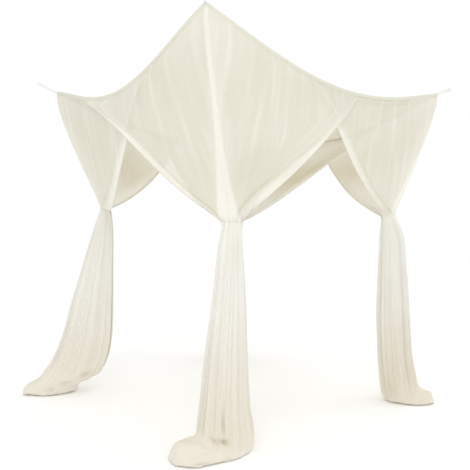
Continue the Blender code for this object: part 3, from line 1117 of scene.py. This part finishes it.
def ribbon(name, line, wide, thick, finish):
    """A woven ribbon along a line of points, and its length. Its width lies along wide."""
    shares = np.linspace(-0.5, 0.5, 7)
    width = norm(wide)
    run = run_along(line)
    grid = line[:, None] + wide * shares[:, None]
    edge = width * (0.5 - np.abs(shares))
    piece = grid_piece(name, grid, cloth_map(width * shares, run), {"edge": edge}, finish)
    bpy.context.view_layer.objects.active = piece
    for kind, settings in (
        ("SOLIDIFY", {"thickness": thick, "offset": 0.0}),
        ("BEVEL", {"width": thick * 0.3, "segments": 2, "limit_method": "ANGLE"}),
    ):
        modifier = piece.modifiers.new(kind, kind)
        for key, value in settings.items():
            setattr(modifier, key, value)
        bpy.ops.object.modifier_apply(modifier=kind)
    return piece, run[-1]


# One side of a binding from its fold down: shares of its half thickness, and heights.
BINDING_FOLD = ((0.0, -0.0002), (0.6, -0.0008), (1.0, -0.0025), (1.0, -0.011), (1.0, -BINDING_TALL))


class MakeBindings(bpy.types.Operator):
    """Make the four bindings, folded over the net along the rim"""

    bl_idname = "canopy.make_bindings"
    bl_label = "Bindings"

    def execute(self, context):
        trim = context.scene.canopy_trim
        finish = tape_finish("rim tape", trim.binding_colour, (0.88, 0.86, 0.78), 0.0016)
        outside = np.array(BINDING_FOLD) * (BINDING_HALF, 1.0)
        fold = np.concatenate([outside[:0:-1] * (-1.0, 1.0), outside])
        sideways, down = fold.T
        for corner in CORNERS:
            other = next_corner(corner)
            length = norm((other.point - corner.point)[:2])
            stops = np.linspace(BINDING_CORNER_GAP, length - BINDING_CORNER_GAP, 161)
            top = edge_points(corner, other, stops)
            out = -inward(corner, other)
            pucker = 0.0005 * np.sin(stops * 2 * np.pi / 0.024 + 2 * np.sin(stops * 9))
            full = sideways + np.sign(sideways) * pucker[:, None] * np.minimum(1.0, -down * 80)
            grid = top[:, None] + out * full[..., None] + UP * down[:, None]
            run, step = run_along(top), run_along(fold)
            fields = {"edge": np.minimum(step, step[-1] - step)}
            piece = grid_piece(f"rim_{corner.name}", grid, cloth_map(step, run), fields, finish)
            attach(piece, "root")
            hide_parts(f"rim_binding_{corner.name}_to_{other.name}")
        return {"FINISHED"}


# One ply of a corner tape: shares of its length, and how far it stands from the middle.
TAPE_PLY = (
    (0.00, 0.0010), (0.40, 0.0011), (0.66, 0.0018), (0.74, 0.0070), (0.82, 0.0118),
    (0.90, 0.0118), (0.96, 0.0078), (0.99, 0.0030), (1.00, 0.0000),
)


class MakeTapes(bpy.types.Operator):
    """Make the four corner tapes, each doubled back round an open eye"""

    bl_idname = "canopy.make_tapes"
    bl_label = "Corner tapes"

    def execute(self, context):
        trim = context.scene.canopy_trim
        finish = tape_finish("hanging tape", trim.tape_colour, (0.90, 0.89, 0.84), 0.0015)
        for corner in CORNERS:
            root = tape_root(corner)
            pull = hook_point(corner) - root
            length = norm(pull)
            pull = pull / length
            across = turned(corner.facing + 90)
            ply = np.array(TAPE_PLY) * (length, 1.0)
            path = np.concatenate([ply, ply[-2::-1] * (1.0, -1.0)])
            fine = table_curve(path, np.linspace(0, len(path) - 1, 97))
            fine[:, 0] -= TAPE_SEWN * (1 - smooth(fine[:, 0], 0.0, 0.25 * length))
            line = root + pull * fine[:, :1] + across * fine[:, 1:]
            wide = np.cross(pull, across) * TAPE_WIDE
            piece, run = ribbon(f"tape_{corner.name}", line, wide, trim.cloth_thick, finish)
            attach(piece, "root")
            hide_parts(f"corner_tape_{corner.name}")
        return {"FINISHED"}


# Where the lamps stand, from the middle of the canopy, and the camera in the frame.
KEY_PLACE = (-3.0, -3.0, 2.4)
FILL_PLACE = (4.2, -2.6, 1.2)
FILL_POWER = 0.70  # of the key light's
LAMP_WIDE = 3.0
CAMERA_PLACE = (-1.228364, -1.715537, -1.174521)
CAMERA_YAW = 0.878225
CAMERA_PITCH = 0.007928


class MakeStage(bpy.types.Operator):
    """Make the studio floor, the soft lights and the camera"""

    bl_idname = "canopy.make_stage"
    bl_label = "Studio"

    def execute(self, context):
        scene, studio = context.scene, context.scene.canopy_stage
        middle = np.mean(CAD_BOX, axis=0)
        place = (*middle[:2], ROOM[2])
        bpy.ops.mesh.primitive_circle_add(
            vertices=96, radius=studio.floor_radius, fill_type="NGON", location=place
        )
        floor = context.object
        floor.name = "studio_floor"
        floor.data.materials.append(floor_finish(studio.floor_colour))
        world = bpy.data.worlds.new("white studio")
        world.use_nodes = True
        sky = world.node_tree.nodes["Background"]
        sky.inputs["Color"].default_value = colour((1.0, 1.0, 1.0))
        sky.inputs["Strength"].default_value = studio.sky
        scene.world = world
        scene.view_settings.view_transform = "Standard"

        for name, place, power in (("key", KEY_PLACE, 1.0), ("fill", FILL_PLACE, FILL_POWER)):
            lamp = bpy.data.lights.new(name, "AREA")
            lamp.shape = "DISK"
            lamp.size = LAMP_WIDE
            lamp.energy = studio.key * power
            light = stood(name, lamp)
            light.location = middle + place
            x, y, z = np.array(place) / norm(place)
            light.rotation_euler = (math.acos(z), 0.0, math.atan2(-y, -x) - math.pi / 2)

        lens = bpy.data.cameras.new("camera")
        lens.lens = studio.lens
        lens.clip_end = 200.0
        camera = stood("camera", lens)
        camera.location = CAMERA_PLACE
        camera.rotation_euler = (math.pi / 2 + CAMERA_PITCH, 0.0, CAMERA_YAW - math.pi / 2)
        scene.camera = camera
        return {"FINISHED"}


class CanopyPanel(bpy.types.Panel):
    """Sizes, colours and buttons of the canopy"""

    bl_idname = "VIEW3D_PT_canopy"
    bl_label = "Net canopy"
    bl_space_type = "VIEW_3D"
    bl_region_type = "UI"
    bl_category = "Canopy"

    def draw(self, context):
        for name, group in GROUPS:
            box = self.layout.box()
            for key in group.__annotations__:
                box.prop(getattr(context.scene, name), key)
        for operator in OPERATORS:
            self.layout.operator(operator.bl_idname)


GROUPS = (("canopy_net", CanopyNet), ("canopy_trim", CanopyTrim), ("canopy_stage", CanopyStage))
OPERATORS = (MakeStage, MakeRoof, MakeBindings, MakeTapes, MakeCurtains)


def register():
    for key, group in GROUPS:
        bpy.utils.register_class(group)
        setattr(bpy.types.Scene, key, bpy.props.PointerProperty(type=group))
    for kind in (*OPERATORS, CanopyPanel):
        bpy.utils.register_class(kind)


def unregister():
    for kind in reversed((*OPERATORS, CanopyPanel)):
        bpy.utils.unregister_class(kind)
    for key, group in reversed(GROUPS):
        delattr(bpy.types.Scene, key)
        bpy.utils.unregister_class(group)


def main():
    register()
    bpy.ops.canopy.make_stage()
    bpy.ops.canopy.make_roof()
    bpy.ops.canopy.make_bindings()
    bpy.ops.canopy.make_tapes()
    bpy.ops.canopy.make_curtains()


if __name__ == "__main__":
    main()
